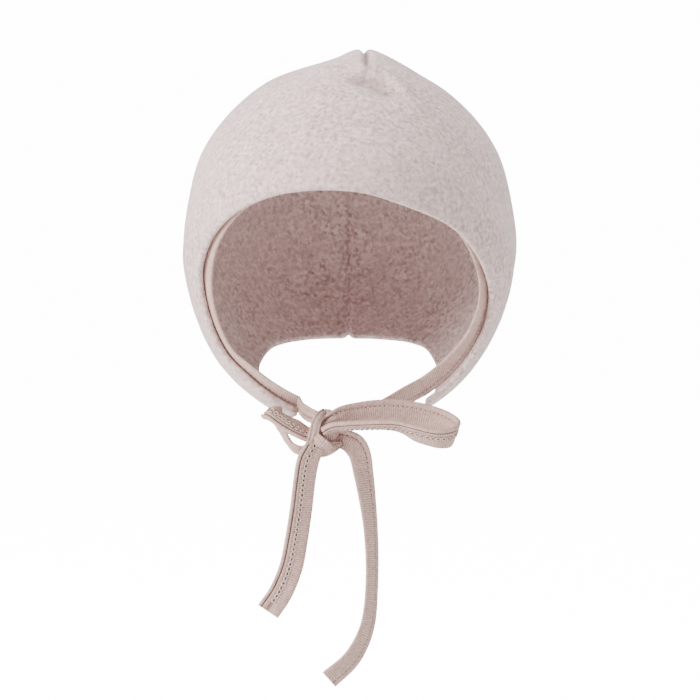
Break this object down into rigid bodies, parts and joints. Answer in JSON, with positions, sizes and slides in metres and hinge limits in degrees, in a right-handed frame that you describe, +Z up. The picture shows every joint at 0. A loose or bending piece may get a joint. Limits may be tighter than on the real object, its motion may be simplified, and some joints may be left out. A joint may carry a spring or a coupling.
{
  "type": "baby hat with ear flaps and chin ties",
  "caption": "Soft fleece baby bonnet: rounded crown with a small peak, ear flaps, rib tape round the face running on into chin ties knotted in a loose bow.",
  "frame": {"origin": "inside of the crown's top, where the head touches it", "axes": "+Z up, the face opening looks along -Y, +X is to the viewer's right from the front"},
  "size_m": [0.1396, 0.1661, 0.2606],
  "materials": {
    "fleece": "brushed matt fleece",
    "rib_tape": "matt knitted rib"
  },
  "bodies": {
    "root": {"crown": "fleece", "binding_and_ties": "rib_tape", "knot": "rib_tape", "bow_loop_right": "rib_tape", "bow_loop_left": "rib_tape", "tail_left": "rib_tape", "tail_right": "rib_tape"}
  },
  "joints": []
}
